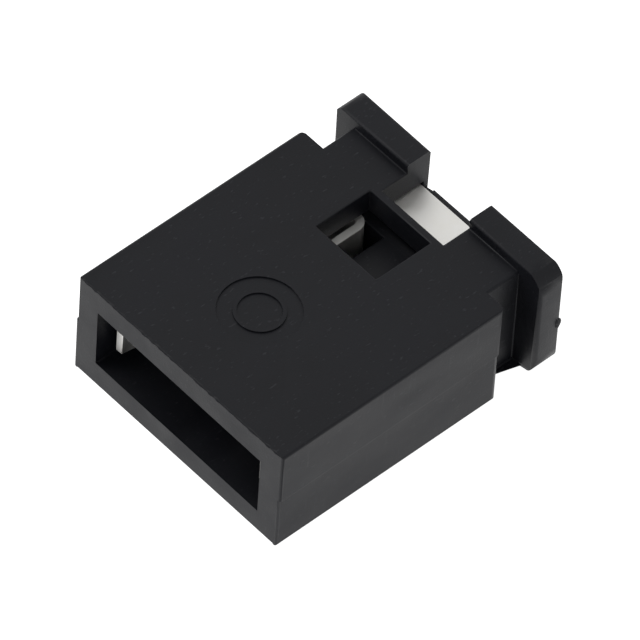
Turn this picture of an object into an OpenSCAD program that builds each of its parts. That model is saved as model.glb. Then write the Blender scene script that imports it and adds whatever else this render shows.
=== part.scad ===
// Two-position jumper shunt for square pins.
// X runs across the two pins, Y from the mouth to the grip flange, Z up from the flat underside.
// The modules measure Y from the mouth; from_mouth() moves the finished piece so that the origin is
// in the middle of the underside.

/* [Pins served] */
// Distance between the two pins
pitch = 2.54; // [2.40:0.01:2.60]
// Side of one square pin
pin_w = 0.64; // [0.55:0.01:0.70]

/* [Housing body] */
// Width across both pin positions
body_w = 5.00; // [4.80:0.01:5.20]
// Thickness from the underside to the flat top
body_h = 2.28; // [2.20:0.01:2.50]
// Length from the mouth to the shoulder
body_len = 4.96; // [4.70:0.01:5.40]
// Radius of the long edges of the body
body_edge_r = 0.05; // [0.03:0.01:0.12]
// Radius of the two upright corners at the mouth
mouth_corner_r = 0.05; // [0.03:0.01:0.15]
// Radius of the two upright corners at the shoulder
shoulder_r = 0.13; // [0.05:0.01:0.20]
// Sideways shift between the upper and the lower mould half
mould_shift = 0.035; // [0.01:0.005:0.06]

/* [Pocket for the contact] */
// Thickness of the floor under the pocket
floor_t = 0.48; // [0.40:0.01:0.60]
// Thickness of the roof over the pocket
roof_t = 0.53; // [0.42:0.01:0.60]
// Wall between the pocket and the shoulder plane
end_wall_t = 0.08; // [0.06:0.01:0.20]
// Free room beside each outer leg, for it to spring into
spring_room = 0.16; // [0.06:0.01:0.18]
// Length of the narrow seat that grips the bent end of the contact
seat_len = 0.55; // [0.40:0.01:0.80]

/* [Neck and grip flange] */
// How far the neck is set in from each side of the body
neck_inset = 0.38; // [0.25:0.01:0.50]
// Length of the neck from the shoulder to the flange
neck_len = 0.66; // [0.45:0.01:0.90]
// Thickness of the flange along the shunt
flange_t = 0.60; // [0.45:0.01:0.80]
// How far the flange is set in from each side of the body
flange_inset = 0.06; // [0.02:0.01:0.15]
// Height of the two ears above the flat top
ear_rise = 0.20; // [0.12:0.01:0.40]
// Height of the neck's and the flange's underside above the body's
grip_lift = 0.16; // [0.00:0.01:0.25]
// Radius of the upper corners of the flange
flange_top_r = 0.40; // [0.20:0.01:0.45]
// Radius of the lower corners of the flange
flange_bottom_r = 0.20; // [0.10:0.01:0.35]
// Radius of the front and rear edges of the ears
ear_edge_r = 0.07; // [0.03:0.01:0.12]

/* [Window and notch] */
// Width of the test window in the roof
window_w = 1.47; // [1.20:0.01:1.70]
// Length of the test window
window_len = 1.20; // [0.80:0.01:1.60]
// Thickness of the bar between the window and the notch
bar_t = 0.14; // [0.10:0.01:0.25]
// Width of the notch between the ears
notch_w = 1.58; // [1.30:0.01:1.80]
// Thickness of the thin web that closes the notch at the rear
web_t = 0.14; // [0.08:0.01:0.20]
// Width of the open gap beside the web, where the mould did not fill
web_gap = 0.15; // [0.08:0.01:0.30]

/* [Round mark on the top] */
// Diameter of the sunk disc
mark_d = 1.46; // [1.00:0.01:1.70]
// Depth of the sunk disc
mark_depth = 0.03; // [0.01:0.005:0.06]
// Distance from the mouth to the centre of the disc
mark_y = 1.82; // [1.20:0.01:2.60]
// Width of the raised ring in the disc
mark_ring_w = 0.07; // [0.04:0.01:0.12]

/* [Contact] */
// Thickness of the metal strip
strip_t = 0.15; // [0.10:0.01:0.18]
// Gap between a pin and the straight part of its outer leg
outer_gap = 0.10; // [0.07:0.01:0.16]
// Gap between a pin and the straight part of its inner leg
inner_gap = 0.18; // [0.10:0.01:0.22]
// How far a leg would bite into the pin before it springs back
leg_bite = 0.05; // [0.02:0.01:0.08]
// Inside radius of every bend
bend_r = 0.10; // [0.06:0.01:0.14]
// Distance from the mouth to the tips of the outer legs
outer_tip_y = 0.30; // [0.15:0.01:0.60]
// Distance from the mouth to the tips of the inner legs
inner_tip_y = 0.95; // [0.70:0.01:1.20]
// Distance from the mouth to the crest of the contact bumps
bump_y = 1.60; // [1.45:0.01:2.00]
// Height of a leg at its tip
tip_h = 0.64; // [0.40:0.01:0.80]
// Width of each tab between the bridge plate and a U
tab_w = 0.60; // [0.40:0.01:0.66]

/* [Fits] */
// Clearance between the bent end of the contact and its seat
seat_clear = 0.03; // [0.01:0.005:0.05]
// Clearance between the contact and the roof and floor
height_clear = 0.04; // [0.02:0.005:0.06]
// Clearance under the bridge plate
plate_under_clear = 0.05; // [0.03:0.005:0.08]

/* [Hidden] */
$fn = 48;
cut = 1;                 // how far a cutting solid runs past the face it opens

// Housing places
total_len = body_len + neck_len + flange_t;
top_z = body_h + ear_rise;
parting_z = body_h / 2;
pocket_h = body_h - floor_t - roof_t;
roof_z = body_h - roof_t;
pocket_end = body_len - end_wall_t;
notch_start = body_len + bar_t;
slot_end = total_len - web_t;

// Contact places
outer_off = pin_w / 2 + outer_gap + strip_t / 2;  // from a pin's axis to the middle of its outer leg
inner_off = pin_w / 2 + inner_gap + strip_t / 2;
outer_face = pitch / 2 + outer_off + strip_t / 2; // outer side of the outer legs
pocket_w = 2 * (outer_face + spring_room);
seat_w = 2 * (outer_face + seat_clear);
plate_top = roof_z - height_clear;
plate_w = pitch + tab_w;
plate_end = slot_end - seat_clear;
slot_w = plate_w + 2 * seat_clear;
slot_z = plate_top - strip_t - plate_under_clear;
web_top = plate_top;
u_rear = pocket_end - seat_clear;                 // rear face of each U
bend_start = u_rear - strip_t - bend_r;           // where a leg ends and its bend begins
leg_bottom = floor_t + height_clear;
leg_top = plate_top - height_clear;
leg_mid = (leg_bottom + leg_top) / 2;
taper_end = 2 * bump_y;                           // a leg has its full height from here on
bend_mid_y = u_rear + bend_r;                     // axis of the tab's bend
bend_mid_z = plate_top - strip_t - bend_r;
plate_front = bend_mid_y + 2 * seat_clear;        // hidden under the bar

// ---- helpers ----

// Extrudes a profile drawn in Y and Z along X, centred on X = 0.
module along_x(width) {
    translate([-width / 2, 0, 0]) rotate([90, 0, 90]) linear_extrude(width) children();
}

// Extrudes a profile drawn in X and Z along Y, from y0 to y1.
module along_y(y0, y1) {
    translate([0, y1, 0]) rotate([90, 0, 0]) linear_extrude(y1 - y0) children();
}

// Rectangle from [x0, y0] to [x1, y1] with a radius of its own at the lower and the upper corners.
module round_rect(x0, y0, x1, y1, r_low, r_up) {
    difference() {
        translate([x0, y0]) square([x1 - x0, y1 - y0]);
        corner_waste(x0, y0, 1, 1, r_low);
        corner_waste(x1, y0, -1, 1, r_low);
        corner_waste(x0, y1, 1, -1, r_up);
        corner_waste(x1, y1, -1, -1, r_up);
    }
}

// What is cut off a square corner at [x, y] to leave a radius r; sx and sy point into the shape.
module corner_waste(x, y, sx, sy, r) {
    over = r * 0.5;
    difference() {
        translate([x + sx * (r - over) / 2, y + sy * (r - over) / 2]) square(r + over, center = true);
        translate([x + sx * r, y + sy * r]) circle(r);
    }
}

// Cuboid between two corners.
module block(low, high) {
    translate(low) cube(high - low);
}

// Brings the mouth to Y = -total_len / 2.
module from_mouth() {
    translate([0, -total_len / 2, 0]) children();
}

// ---- housing ----

// One mould half of the body: the plan outline, rounded along its long edges.
module body_half(z0, z1) {
    intersection() {
        linear_extrude(body_h)
            round_rect(-body_w / 2, 0, body_w / 2, body_len, mouth_corner_r, shoulder_r);
        along_y(-cut, body_len + cut)
            round_rect(-body_w / 2, 0, body_w / 2, body_h, body_edge_r, body_edge_r);
        block([-body_w, -cut, z0], [body_w, body_len + cut, z1]);
    }
}

module body_block() {
    translate([mould_shift / 2, 0, 0]) body_half(parting_z, body_h);
    translate([-mould_shift / 2, 0, 0]) body_half(0, parting_z);
}

module neck_block() {
    half = body_w / 2 - neck_inset;
    along_y(body_len - end_wall_t, total_len - flange_t / 2)
        round_rect(-half, grip_lift, half, body_h, body_edge_r, body_edge_r);
}

// The flange plate: rounded corners seen from the rear, rounded edges seen from the side.
module flange_plate() {
    half = body_w / 2 - flange_inset;
    intersection() {
        along_y(total_len - flange_t, total_len)
            round_rect(-half, grip_lift, half, top_z, flange_bottom_r, flange_top_r);
        along_x(body_w)
            round_rect(total_len - flange_t, grip_lift, total_len, top_z, ear_edge_r, ear_edge_r);
        linear_extrude(top_z)
            round_rect(-half, total_len - flange_t, half, total_len, ear_edge_r, ear_edge_r);
    }
}

// Room for the contact: the wide pocket, its narrow seat and the slot for the bridge plate.
module contact_room() {
    block([-pocket_w / 2, -cut, floor_t], [pocket_w / 2, pocket_end - seat_len, roof_z]);
    block([-seat_w / 2, 0, floor_t], [seat_w / 2, pocket_end, roof_z]);
    block([-slot_w / 2, 0, slot_z], [slot_w / 2, slot_end, roof_z]);
}

module window_cut() {
    block([-window_w / 2, body_len - window_len, slot_z], [window_w / 2, body_len, body_h + cut]);
}

// The notch between the ears, down to the web, and the gap at one end of the web.
module notch_cut() {
    block([-notch_w / 2, notch_start, web_top], [notch_w / 2, total_len + cut, top_z + cut]);
    block([-notch_w / 2, slot_end - cut / 2, slot_z],
          [-notch_w / 2 + web_gap, total_len + cut, top_z + cut]);
}

// A plain sunk disc with one raised ring in it.
module round_mark() {
    ring_d = mark_d * 0.62;
    translate([0, mark_y, body_h - mark_depth]) difference() {
        cylinder(d = mark_d, h = cut);
        difference() {
            cylinder(d = ring_d, h = mark_depth);
            cylinder(d = ring_d - 2 * mark_ring_w, h = mark_depth);
        }
    }
}

module housing() {
    color([0.12, 0.12, 0.13]) from_mouth() difference() {
        union() {
            body_block();
            neck_block();
            flange_plate();
        }
        contact_room();
        window_cut();
        notch_cut();
        round_mark();
    }
}

// ---- contact ----

// Height of one smooth bump, 0 to 1, for u from -1 to 1.
function bump(u) = abs(u) < 1 ? (1 + cos(180 * u)) / 2 : 0;

// Sideways place of a leg's middle line from its pin's axis: straight, with a bump that bites into the
// pin and dies out at the tip.
function leg_x(y, off, tip) =
    off - (off - (pin_w + strip_t) / 2 + leg_bite) * bump((y - bump_y) / (bump_y - tip));

// A point on one face of a leg, square to the middle line: side is +1 or -1.
function leg_face(y, off, tip, side) =
    let (slope = (leg_x(y + 0.01, off, tip) - leg_x(y - 0.01, off, tip)) / 0.02,
         n = sqrt(1 + slope * slope))
    [leg_x(y, off, tip) + side * strip_t / 2 / n, y - side * slope * strip_t / 2 / n];

// Plan of one leg, from its tip to where its bend begins.
module leg_plan(off, tip) {
    steps = 24;
    y_of = [for (i = [0:steps]) tip + 2 * (bump_y - tip) * i / steps];
    polygon(concat(
        [for (y = y_of) leg_face(y, off, tip, -1)],
        [[off - strip_t / 2, bend_start], [off + strip_t / 2, bend_start]],
        [for (i = [steps:-1:0]) leg_face(y_of[i], off, tip, 1)]));
}

// Plan of the bent end that joins the two legs of one U behind its pin.
module bend_plan() {
    half = strip_t / 2;
    difference() {
        round_rect(-inner_off - half, bend_start - 1, outer_off + half, u_rear, bend_r, bend_r + strip_t);
        round_rect(-inner_off + half, bend_start - 2, outer_off - half, u_rear - strip_t, bend_r, bend_r);
        translate([-pitch, bend_start - 2]) square([2 * pitch, 2]);
    }
}

// Side view of a U: full height at the bend, slimmer towards the tips.
module side_profile() {
    polygon([
        [outer_tip_y - strip_t, leg_mid - tip_h / 2],
        [taper_end, leg_bottom],
        [u_rear + strip_t, leg_bottom],
        [u_rear + strip_t, leg_top],
        [taper_end, leg_top],
        [outer_tip_y - strip_t, leg_mid + tip_h / 2]]);
}

// The tab from the top of a U over its bend to the plate.
module tab() {
    along_x(tab_w) {
        translate([u_rear - strip_t, leg_mid]) square([strip_t, bend_mid_z - leg_mid]);
        intersection() {
            difference() {
                translate([bend_mid_y, bend_mid_z]) circle(bend_r + strip_t);
                translate([bend_mid_y, bend_mid_z]) circle(bend_r);
            }
            translate([u_rear - strip_t, bend_mid_z]) square(bend_r + strip_t);
        }
        translate([bend_mid_y, plate_top - strip_t]) square([2 * bend_r, strip_t]);
    }
}

// Two sprung legs on edge, the outer one towards +X, and the tab that carries them.
module pin_grip() {
    intersection() {
        linear_extrude(body_h) {
            leg_plan(outer_off, outer_tip_y);
            mirror([1, 0]) leg_plan(inner_off, inner_tip_y);
            bend_plan();
        }
        along_x(body_w) side_profile();
    }
    tab();
}

module bridge_plate() {
    block([-plate_w / 2, plate_front, plate_top - strip_t], [plate_w / 2, plate_end, plate_top]);
}

module contact() {
    color([0.78, 0.76, 0.70]) from_mouth() union() {
        for (side = [0, 1]) mirror([side, 0, 0]) translate([pitch / 2, 0, 0]) pin_grip();
        bridge_plate();
    }
}

housing();
contact();
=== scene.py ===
"""A two-position jumper shunt: black moulded housing, tinned sprung contact."""
import math

import bmesh
import bpy
import numpy as np
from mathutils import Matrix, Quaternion, Vector


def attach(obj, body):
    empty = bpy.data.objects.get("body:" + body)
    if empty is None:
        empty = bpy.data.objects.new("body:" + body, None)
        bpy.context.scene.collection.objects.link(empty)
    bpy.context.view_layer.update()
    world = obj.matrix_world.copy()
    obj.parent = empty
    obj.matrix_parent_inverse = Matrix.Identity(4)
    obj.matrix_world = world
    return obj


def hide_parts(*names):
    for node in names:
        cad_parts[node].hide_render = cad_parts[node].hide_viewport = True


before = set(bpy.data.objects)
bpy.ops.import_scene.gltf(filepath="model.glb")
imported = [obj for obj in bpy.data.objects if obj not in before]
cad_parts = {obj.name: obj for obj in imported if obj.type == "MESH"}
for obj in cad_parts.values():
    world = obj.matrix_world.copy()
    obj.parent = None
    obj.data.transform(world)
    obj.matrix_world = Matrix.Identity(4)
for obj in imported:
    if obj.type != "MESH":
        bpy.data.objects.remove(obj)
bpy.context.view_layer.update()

MM = 0.001

# Sizes below are in mm. y runs from the mouth (0) to the rear, z from the table up, x to the right.
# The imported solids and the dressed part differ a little: each pair of tables says where a place along the
# solids lies on the dressed part.
CAD_LEN = 6.22
LEN = 6.11
# along y: mouth, window's front, body's shoulder, notch's front, flange's front, web's front, rear
CAD_Y = (0, 3.76, 4.96, 5.10, 5.62, 6.08, 6.22)
NEW_Y = (0, 3.69, 4.89, 5.03, 5.59, 5.98, 6.11)
# along z: table, pocket's floor, notch's floor, plate's top, pocket's roof, body's top, ears' top
CAD_Z = (0, 0.48, 1.51, 1.71, 1.75, 2.28, 2.48)
NEW_Z = (0, 0.50, 1.57, 1.75, 1.79, 2.31, 2.52)
TOP = 2.31                          # the flat top
PARTING = 1.155                     # the mould's parting line

# How the housing departs from its solid, to the right where a shift is above 0.
WINDOW_SHIFT = -0.06
MARK_SHIFT = -0.05
FLANGE_SHIFT = 0.09                 # the notch stands in the flange and shifts with it
NECK_SHIFTS = (0.14, -0.05)         # left and right side of the neck
NOTCH_HALVES = (0.79, 0.755)        # half widths, on the solid and as dressed
FLANGE_HALVES = (2.44, 2.52)
GRIP_UNDERSIDES = (0.16, 0.03)      # underside of neck and flange above the table
LEFT_EAR_CORNER = 0.6               # radius of the left ear's outer corner, as a share of the solid's
LOW_CORNERS = 1.65                  # the same for the two low corners of the flange
WEB_DROP = 0.10                     # the thin web behind the plate ends this much lower
MARK_Y, MARK_REACH = 1.82, 0.74     # centre of the round mark, and a radius that takes it all in
MARK_BED = 2.2                      # a level under the mark
PLATE_EDGE_Y = 5.02                 # front edge of the plate, under the bar

# Boxes that pick points of the solids: (low, high) of the distance from the middle plane, of y and of z.
ANY = (-9, 9)
WINDOW = ((0.734, 0.736), (3.70, 4.97), (1.40, 9))
NOTCH = ((-9, 0.80), (5.09, 9), (1.49, 9))
NECK = ((1.90, 2.14), (4.87, 5.63), (-9, 2.285))
FLANGE = ((1.90, 9), (5.61, 9), ANY)
HIGH_CORNER = ((2.03, 9), ANY, (2.07, 9))
LOW_CORNER = ((2.235, 9), ANY, (-9, 0.365))
UNDER_GRIP = (ANY, (4.97, 9), (0.155, 0.48))
UNDER_NECK = ((-9, 2.14), (4.87, 9), (0.155, 0.48))
WEB_TOP = (ANY, (6.07, 9), (1.709, 1.711))
PLATE_EDGE = ((-9, 0.98), (5.008, 5.012), (1.50, 9))

HOUSING_EDGE_RADIUS = 0.022
HOUSING_SHORTEST_EDGE = 0.12
STRIP_EDGE_RADIUS = 0.012
STRIP_SHORTEST_EDGE = 0.06

FLOOR_GLOW = 0.97                   # strength added to the paper for camera, reflections and clear bodies
ROOM_LIGHT = 0.30                   # strength of the world as light


# ---- node and colour helpers ----

def linear(hex_colour):
    """sRGB hex to linear RGBA."""
    values = [int(hex_colour[i:i + 2], 16) / 255 for i in (1, 3, 5)]
    return tuple(v / 12.92 if v <= 0.04045 else ((v + 0.055) / 1.055) ** 2.4 for v in values) + (1.0,)


def add(tree, kind, settings=None, **links):
    """Adds a node; settings are its properties or sockets, links join sockets to other outputs."""
    node = tree.nodes.new("ShaderNode" + kind)
    for key, value in (settings or {}).items():
        if key in node.inputs:
            node.inputs[key].default_value = value
        else:
            setattr(node, key, value)
    for key, source in links.items():
        socket = node.inputs[int(key[1:])] if key[0] == "i" and key[1:].isdigit() else node.inputs[key]
        tree.links.new(source, socket)
    return node


def new_material(name):
    """An empty node material, and its tree."""
    material = bpy.data.materials.new(name)
    material.use_nodes = True
    tree = material.node_tree
    tree.nodes.clear()
    return material, tree


# ---- camera ----

def place_camera():
    """A long lens, looking down at the top past the right front corner."""
    azimuth, elevation, roll = math.radians(45.04), math.radians(50.60), math.radians(3.94)
    distance = 200 * MM
    aim = Vector((0.099, -0.017, 1.223)) * MM
    back = Vector((math.sin(azimuth) * math.cos(elevation), -math.cos(azimuth) * math.cos(elevation),
                   math.sin(elevation)))
    data = bpy.data.cameras.new("camera")
    data.lens = 685.1
    data.sensor_width = 36
    data.clip_start, data.clip_end = 10 * MM, 1.0
    camera = bpy.data.objects.new("camera", data)
    camera.location = aim + back * distance
    camera.rotation_mode = "QUATERNION"
    camera.rotation_quaternion = (-back).to_track_quat("-Z", "Y") @ Quaternion((0, 0, 1), roll)
    bpy.context.scene.collection.objects.link(camera)
    bpy.context.scene.camera = camera


# ---- floor, world and lamps ----

def background_rays(tree):
    """1 where the camera, a reflection or a clear body looks, 0 for light that falls on things."""
    rays = add(tree, "LightPath")
    seen = add(tree, "Math", {"operation": "MAXIMUM"}, i0=rays.outputs["Is Camera Ray"],
               i1=rays.outputs["Is Glossy Ray"])
    return add(tree, "Math", {"operation": "MAXIMUM"}, i0=seen.outputs[0],
               i1=rays.outputs["Is Transmission Ray"]).outputs[0]


def white_floor():
    """A square sheet of matt white paper under the part, brighter to look at than its light alone."""
    material, tree = new_material("white_paper")
    output = add(tree, "OutputMaterial")
    paper = add(tree, "BsdfDiffuse", {"Color": linear("#F4F4F4")})
    unlit = add(tree, "Emission", {"Strength": 0.0})
    glow = add(tree, "Emission", {"Color": (1, 1, 1, 1), "Strength": FLOOR_GLOW})
    seen = add(tree, "MixShader", i0=background_rays(tree), i1=unlit.outputs[0], i2=glow.outputs[0])
    both = add(tree, "AddShader", i0=paper.outputs[0], i1=seen.outputs[0])
    tree.links.new(both.outputs[0], output.inputs[0])
    half = 120 * MM
    mesh = bpy.data.meshes.new("floor")
    mesh.from_pydata([(-half, -half, 0), (half, -half, 0), (half, half, 0), (-half, half, 0)], [],
                     [(0, 1, 2, 3)])
    mesh.materials.append(material)
    floor = bpy.data.objects.new("floor", mesh)
    bpy.context.scene.collection.objects.link(floor)


def plain_world():
    """An even room light, white where the camera, a reflection or a clear body looks."""
    world = bpy.data.worlds.new("studio")
    bpy.context.scene.world = world
    world.use_nodes = True
    tree = world.node_tree
    tree.nodes.clear()
    output = add(tree, "OutputWorld")
    room = add(tree, "Background", {"Color": (1, 1, 1, 1), "Strength": ROOM_LIGHT})
    white = add(tree, "Background", {"Color": (1, 1, 1, 1), "Strength": 1.0})
    mix = add(tree, "MixShader", i0=background_rays(tree), i1=room.outputs[0], i2=white.outputs[0])
    tree.links.new(mix.outputs[0], output.inputs[0])


def softbox(name, place, size, strength):
    """A square lamp of a size (mm) and strength (W) at place (mm), which faces the part."""
    data = bpy.data.lights.new(name, "AREA")
    data.shape = "SQUARE"
    data.size = size * MM
    data.energy = strength
    lamp = bpy.data.objects.new(name, data)
    lamp.location = Vector(place) * MM
    lamp.rotation_mode = "QUATERNION"
    lamp.rotation_quaternion = (-Vector(place)).to_track_quat("-Z", "Y")
    bpy.context.scene.collection.objects.link(lamp)


# ---- finishes ----

def pattern_noise(tree, size_mm, detail=2.0, stretch=(1, 1, 1)):
    """Noise on object coordinates whose grains are about size_mm across; stretch makes them longer."""
    place = add(tree, "TexCoord")
    longer = add(tree, "Mapping", {"Scale": tuple(1 / v for v in stretch)}, Vector=place.outputs["Object"])
    return add(tree, "TexNoise", {"Scale": 1 / (size_mm * MM), "Detail": detail},
               Vector=longer.outputs[0])


def black_moulding():
    """Glass-filled black thermoplastic, injection moulded in a spark-eroded mould.

    The mould leaves a fine satin grain, so the flat faces shine softly; the glass fibres at the surface
    show as tiny paler specks; the melt front leaves broad, faint changes in shine, and handling leaves
    thin scuffs that shine a little more.
    """
    material, tree = new_material("black_glass_filled_thermoplastic")
    # The mould's real grain is near 0.01 mm and a fibre is 0.01 mm thick, too fine to show: both are drawn
    # three to five times as coarse.
    grain = pattern_noise(tree, 0.035, detail=3.0)
    fleck = pattern_noise(tree, 0.05, detail=1.0, stretch=(1, 2.5, 1))
    flow = pattern_noise(tree, 0.9, detail=2.0, stretch=(1, 2.2, 1))
    scuff = pattern_noise(tree, 0.06, detail=3.0, stretch=(14, 1, 14))
    tone = add(tree, "MapRange", {"From Min": 0.35, "From Max": 0.65, "To Min": 0.0, "To Max": 1.0},
               Value=flow.outputs["Fac"])
    base = add(tree, "MixRGB", {"Color1": linear("#111217"), "Color2": linear("#16171C")},
               Fac=tone.outputs[0])
    bright = add(tree, "MapRange", {"From Min": 0.66, "From Max": 0.78, "To Min": 0.0, "To Max": 0.40},
                 Value=fleck.outputs["Fac"])
    colour = add(tree, "MixRGB", {"Color2": linear("#3C3D42")}, Fac=bright.outputs[0], Color1=base.outputs[0])
    shine = add(tree, "MapRange", {"From Min": 0.3, "From Max": 0.7, "To Min": 0.40, "To Max": 0.52},
                Value=flow.outputs["Fac"])
    worn = add(tree, "MapRange", {"From Min": 0.62, "From Max": 0.75, "To Min": 0.0, "To Max": -0.08},
               Value=scuff.outputs["Fac"])
    rough = add(tree, "Math", {"operation": "ADD"}, i0=shine.outputs[0], i1=worn.outputs[0])
    fine = add(tree, "Bump", {"Strength": 0.55, "Distance": 0.004 * MM}, Height=grain.outputs["Fac"])
    broad = add(tree, "Bump", {"Strength": 0.5, "Distance": 0.02 * MM}, Height=flow.outputs["Fac"],
                Normal=fine.outputs[0])
    shader = add(tree, "BsdfPrincipled", {"Specular IOR Level": 0.20, "IOR": 1.5, "Metallic": 0.0},
                 **{"Base Color": colour.outputs[0], "Roughness": rough.outputs[0],
                    "Normal": broad.outputs[0]})
    output = add(tree, "OutputMaterial")
    tree.links.new(shader.outputs[0], output.inputs[0])
    return material


def tinned_strip():
    """Copper alloy strip, rolled and bright tin plated, then stamped and bent.

    Rolling leaves fine lines along the strip; the tin is bright but not a mirror, with a faintly warm,
    uneven sheen where the plating is thin.
    """
    material, tree = new_material("tin_plated_copper_alloy")
    # Real rolling lines are a few micrometres apart, too fine to show: they are drawn 0.03 mm wide.
    lines = pattern_noise(tree, 0.03, detail=3.0, stretch=(1, 12, 1))
    cloud = pattern_noise(tree, 0.35, detail=2.0)
    colour = add(tree, "MixRGB", {"Color1": linear("#D2D0CA"), "Color2": linear("#DEDEDD")},
                 Fac=cloud.outputs["Fac"])
    rough = add(tree, "MapRange", {"From Min": 0.3, "From Max": 0.7, "To Min": 0.40, "To Max": 0.54},
                Value=cloud.outputs["Fac"])
    bump = add(tree, "Bump", {"Strength": 0.4, "Distance": 0.002 * MM}, Height=lines.outputs["Fac"])
    shader = add(tree, "BsdfPrincipled", {"Metallic": 1.0},
                 **{"Base Color": colour.outputs[0], "Roughness": rough.outputs[0],
                    "Normal": bump.outputs[0]})
    output = add(tree, "OutputMaterial")
    tree.links.new(shader.outputs[0], output.inputs[0])
    return material


# ---- pieces ----

def merged_copy(node, name):
    """A new object from a node's triangles: doubles merged, flat neighbours joined."""
    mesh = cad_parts[node].data.copy()
    mesh.name = name
    mesh.materials.clear()
    same_place, same_plane = 0.0005 * MM, math.radians(0.6)
    shape = bmesh.new()
    shape.from_mesh(mesh)
    bmesh.ops.remove_doubles(shape, verts=shape.verts, dist=same_place)
    bmesh.ops.dissolve_limit(shape, angle_limit=same_plane, verts=shape.verts, edges=shape.edges)
    shape.to_mesh(mesh)
    shape.free()
    piece = bpy.data.objects.new(name, mesh)
    bpy.context.scene.collection.objects.link(piece)
    return piece


def points_mm(mesh):
    """A solid's points in mm, with y from the mouth."""
    flat = np.empty(len(mesh.vertices) * 3)
    mesh.vertices.foreach_get("co", flat)
    return flat.reshape(-1, 3) / MM + np.array([0, CAD_LEN / 2, 0])


def set_points_mm(mesh, points):
    """Gives a mesh its dressed points, in mm with y from the mouth."""
    moved = (points - np.array([0, LEN / 2, 0])) * MM
    mesh.vertices.foreach_set("co", moved.ravel())
    mesh.update()


def inside(box, x, y, z):
    """True for the points strictly inside a box; the box is the same on both sides of the middle."""
    (side_low, side_high), (y_low, y_high), (z_low, z_high) = box
    side = abs(x)
    across = (side > side_low) & (side < side_high)
    return across & (y > y_low) & (y < y_high) & (z > z_low) & (z < z_high)


def moulded_places(points):
    """Housing points as moulded: y and z follow their tables; the window, mark, notch and flange shift to
    one side and the neck's sides move in; a corner's radius is scaled about the corner that it rounds."""
    x, y, z = points.T.copy()
    in_mark = (np.hypot(x, y - MARK_Y) < MARK_REACH) & (z > MARK_BED)
    in_window = inside(WINDOW, x, y, z)
    in_notch = inside(NOTCH, x, y, z)
    in_neck = inside(NECK, x, y, z)
    in_flange = inside(FLANGE, x, y, z) & ~in_neck
    left_corner = in_flange & inside(HIGH_CORNER, x, y, z) & (x < 0)
    low_corner = in_flange & inside(LOW_CORNER, x, y, z)
    under_grip = inside(UNDER_GRIP, x, y, z) | inside(UNDER_NECK, x, y, z)
    in_web = inside(WEB_TOP, x, y, z)

    # the corners' radii, still in the solid's sizes
    half, top, under = FLANGE_HALVES[0], CAD_Z[-1], GRIP_UNDERSIDES[0]
    round_x, round_z = x.copy(), z.copy()
    round_x[left_corner] = -half + (x[left_corner] + half) * LEFT_EAR_CORNER
    round_z[left_corner] = top + (z[left_corner] - top) * LEFT_EAR_CORNER
    round_x[low_corner] = np.sign(x[low_corner]) * (half - (half - abs(x[low_corner])) * LOW_CORNERS)
    round_z[low_corner] = under + (z[low_corner] - under) * LOW_CORNERS

    new_x = x.copy()
    new_x[in_window] += WINDOW_SHIFT
    new_x[in_mark] += MARK_SHIFT
    new_x[in_notch] = FLANGE_SHIFT + x[in_notch] * (NOTCH_HALVES[1] / NOTCH_HALVES[0])
    new_x[in_neck] += np.where(x[in_neck] < 0, *NECK_SHIFTS)
    new_x[in_flange] = FLANGE_SHIFT + round_x[in_flange] * (FLANGE_HALVES[1] / FLANGE_HALVES[0])
    new_z = np.interp(round_z, CAD_Z, NEW_Z)
    new_z[under_grip] = np.interp(round_z[under_grip], (GRIP_UNDERSIDES[0], CAD_Z[1]),
                                  (GRIP_UNDERSIDES[1], NEW_Z[1]))
    new_z[in_web] -= WEB_DROP
    return np.stack([new_x, np.interp(y, CAD_Y, NEW_Y), new_z], axis=1)


def strip_places(points):
    """Contact points: y and z follow their tables; the front edge of the plate lies under the bar."""
    x, y, z = points.T.copy()
    new_y = np.interp(y, CAD_Y, NEW_Y)
    new_y[inside(PLATE_EDGE, x, y, z)] = PLATE_EDGE_Y
    return np.stack([x, new_y, np.interp(z, CAD_Z, NEW_Z)], axis=1)


def mark_edges(mesh, shortest, skip_level=None):
    """Gives full bevel weight to edges sharper than 35 degrees and longer than shortest (mm), but for those
    at skip_level (mm), where the two halves of the mould meet in a small step."""
    sharp, level_slack = math.radians(35), 0.02
    shape = bmesh.new()
    shape.from_mesh(mesh)
    layer = shape.edges.layers.float.new("bevel_weight_edge")
    for edge in shape.edges:
        if len(edge.link_faces) != 2 or edge.calc_length() < shortest * MM:
            continue
        level = (edge.verts[0].co.z + edge.verts[1].co.z) / 2 / MM
        if skip_level is not None and abs(level - skip_level) < level_slack:
            continue
        if edge.calc_face_angle(0.0) > sharp:
            edge[layer] = 1.0
    shape.to_mesh(mesh)
    shape.free()


def finish_piece(piece, material, radius=None):
    """Smooth shading, a bevel of the given radius (mm) on the weighted edges, material and body."""
    mesh = piece.data
    mesh.materials.append(material)
    mesh.polygons.foreach_set("use_smooth", [True] * len(mesh.polygons))
    mesh.set_sharp_from_angle(angle=math.radians(30))
    if radius:
        bevel = piece.modifiers.new("edge_radius", "BEVEL")
        bevel.width = radius * MM
        bevel.segments = 2
        bevel.limit_method = "WEIGHT"
        bevel.use_clamp_overlap = False
        flat = piece.modifiers.new("flat_faces", "WEIGHTED_NORMAL")
        flat.keep_sharp = True
    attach(piece, "root")


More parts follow.
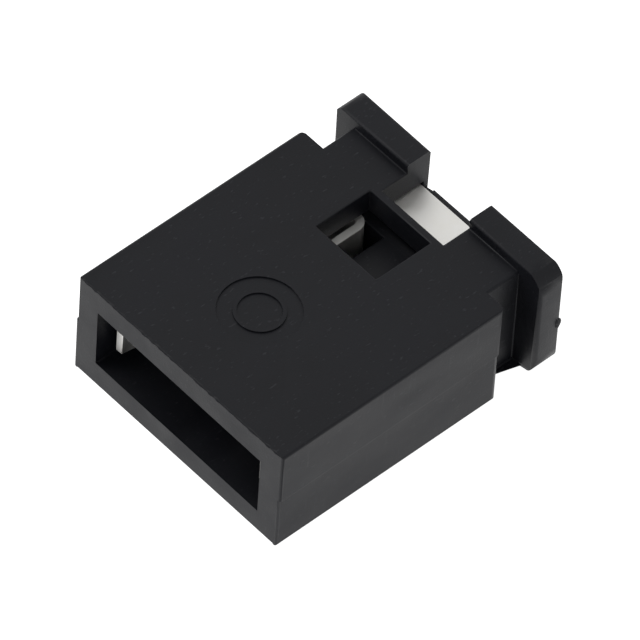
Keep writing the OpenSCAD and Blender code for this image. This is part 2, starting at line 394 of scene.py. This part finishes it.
def closed_tube(name, points):
    """A new object from a (rows, columns, 3) array of places in mm, y from the mouth: each row is a ring,
    neighbouring rings are joined, and the first and last are capped."""
    rows, columns, _ = points.shape
    index = np.arange(rows * columns).reshape(rows, columns)
    ring = np.concatenate([index, index[:, :1]], axis=1)
    corners = [ring[:-1, :-1], ring[:-1, 1:], ring[1:, 1:], ring[1:, :-1]]
    faces = np.stack(corners, axis=-1).reshape(-1, 4).tolist()
    faces += [index[0, ::-1].tolist(), index[-1].tolist()]
    mesh = bpy.data.meshes.new(name)
    flat = (points.reshape(-1, 3) - np.array([0, LEN / 2, 0])) * MM
    mesh.from_pydata(flat.tolist(), [], faces)
    shape = bmesh.new()
    shape.from_mesh(mesh)
    bmesh.ops.remove_doubles(shape, verts=shape.verts, dist=0.0002 * MM)
    bmesh.ops.recalc_face_normals(shape, faces=shape.faces)
    shape.to_mesh(mesh)
    shape.free()
    piece = bpy.data.objects.new(name, mesh)
    bpy.context.scene.collection.objects.link(piece)
    return piece


def ripple(t, seed):
    """A repeatable uneven line, 0 to 1: the mean of nine sines, each with a scattered phase that follows
    from its number and the seed, stretched about the middle and cut off at 0 and 1."""
    k = np.arange(1, 10)
    pitch, stretch = 5.3, 1.3
    phase = np.sin(k * 12.9898 + seed * 78.233) * 43758.5453 % (2 * np.pi)
    waved = np.sin(np.outer(t, k * pitch + seed) + phase).mean(axis=1)
    return np.clip(0.5 + stretch * waved, 0, 1)


def inner_rib():
    """The rib between the two pin channels: a section with two square feet and two rounded top corners,
    carried along y, whose width narrows to nine tenths at the front end."""
    half, low, high, radius = 0.35, 0.49, 1.57, 0.04
    turn = np.radians(np.arange(0, 91, 22.5))
    right = np.stack([half - radius + radius * np.cos(turn), high - radius + radius * np.sin(turn)], axis=1)
    left = right[::-1] * [-1, 1]
    section = np.concatenate([[[half, low]], right, left, [[-half, low]]])
    along = np.array([1.60, 1.64, 4.83])
    slim = np.array([0.90, 0.98, 1.0])
    points = np.empty((len(along), len(section), 3))
    points[..., 0] = section[None, :, 0] * slim[:, None]
    points[..., 1] = along[:, None]
    points[..., 2] = section[None, :, 1]
    return closed_tube("rib_between_pins", points)


def front_flash():
    """Flash along the top edge of the mouth: a four-cornered section carried along x, whose front corner
    reaches forward and whose top corner rises by two uneven lines that fade out at both ends."""
    x = np.linspace(-2.44, 2.46, 220)
    t = (x + 2.5) / 5
    waves, fade_rate = 4, 25
    fade = np.clip(np.minimum(t, 1 - t) * fade_rate, 0, 1)
    height = fade * (0.005 + 0.014 * ripple(t * waves, 1.0) ** 2)
    reach = fade * (0.004 + 0.012 * ripple(t * waves, 2.0) ** 2)
    points = np.empty((len(x), 4, 3))
    points[..., 0] = x[:, None]
    points[:, 0, 1:] = (0.012, TOP - 0.045)
    points[:, 1, 1] = -reach
    points[:, 1, 2] = TOP - 0.012
    points[:, 2, 1] = 0.006
    points[:, 2, 2] = TOP + height - 0.004
    points[:, 3, 1:] = (0.050, TOP - 0.006)
    return closed_tube("flash_on_mouth_edge", points)


def flange_flash():
    """The nub of flash near the parting line on the right rear corner of the flange: half an ellipsoid that
    bulges along x from an uneven outline, with latitude as rows and longitude as columns."""
    centre = (2.590, 6.050, 1.14)
    bulge, half_length, half_height = 0.055, 0.065, 0.13
    turn = np.linspace(0, 2 * np.pi, 28, endpoint=False)
    rise = np.linspace(0, np.pi / 2, 7)
    uneven = 1 + 0.16 * np.sin(3 * turn + 0.8) + 0.08 * np.sin(7 * turn)
    points = np.empty((len(rise), len(turn), 3))
    points[..., 0] = centre[0] + bulge * np.sin(rise)[:, None]
    points[..., 1] = centre[1] + half_length * np.cos(rise)[:, None] * np.cos(turn) * uneven
    points[..., 2] = centre[2] + half_height * np.cos(rise)[:, None] * np.sin(turn) * uneven
    return closed_tube("flash_on_flange", points)


# ---- build ----

place_camera()
white_floor()
plain_world()
softbox("softbox_left", (-45, -20, 55), 40, 0.012)
softbox("softbox_right", (40, -45, 45), 35, 0.003)

plastic = black_moulding()
tin = tinned_strip()

housing = merged_copy("housing", "moulded_housing")
set_points_mm(housing.data, moulded_places(points_mm(housing.data)))
mark_edges(housing.data, HOUSING_SHORTEST_EDGE, skip_level=PARTING)
finish_piece(housing, plastic, radius=HOUSING_EDGE_RADIUS)
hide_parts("housing")

strip = merged_copy("contact", "bent_contact_strip")
set_points_mm(strip.data, strip_places(points_mm(strip.data)))
mark_edges(strip.data, STRIP_SHORTEST_EDGE)
finish_piece(strip, tin, radius=STRIP_EDGE_RADIUS)
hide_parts("contact")

finish_piece(inner_rib(), plastic)
finish_piece(front_flash(), plastic)
finish_piece(flange_flash(), plastic)

# ---- finish ----

bpy.context.scene.view_settings.view_transform = "Standard"
